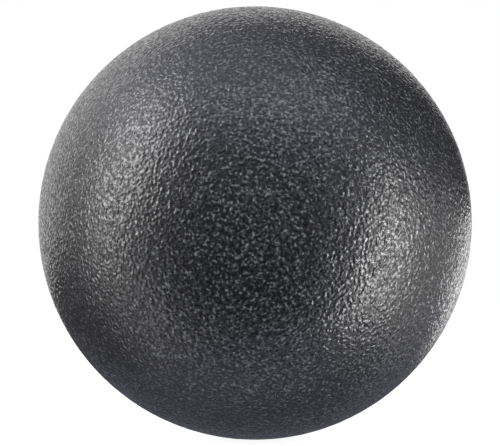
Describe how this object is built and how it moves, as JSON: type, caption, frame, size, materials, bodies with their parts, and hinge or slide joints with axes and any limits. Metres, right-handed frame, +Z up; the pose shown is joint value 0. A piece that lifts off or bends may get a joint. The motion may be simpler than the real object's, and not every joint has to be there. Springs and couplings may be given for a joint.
{
  "type": "lawn bowl",
  "caption": "Round rubber-covered bowl with a pebble-grained skin, a solid core and an off-centre brass weight under a flush plug disc.",
  "frame": {"origin": "centre of the ball", "axes": "+Y along the bias axis, about which the bowl spins as it rolls, towards the bias side with its disc; +Z up; the bowl rolls on the circle at Y = 0, its lowest point at Z = -0.06 m"},
  "size_m": [0.12, 0.1181, 0.12],
  "materials": {
    "cover_rubber": "satin",
    "core_composition": "matte",
    "turned_brass": "satin",
    "plated_steel": "satin",
    "seal_rubber": "matte",
    "disc_plastic": "satin"
  },
  "bodies": {
    "root": {"cover_plain_side": "cover_rubber", "cover_bias_side": "cover_rubber", "core": "core_composition", "threaded_insert": "turned_brass", "bias_weight": "turned_brass", "trim_washers": "turned_brass", "lock_washer": "plated_steel", "weight_screw": "plated_steel", "disc_seal": "seal_rubber", "bias_disc": "disc_plastic"}
  },
  "joints": []
}
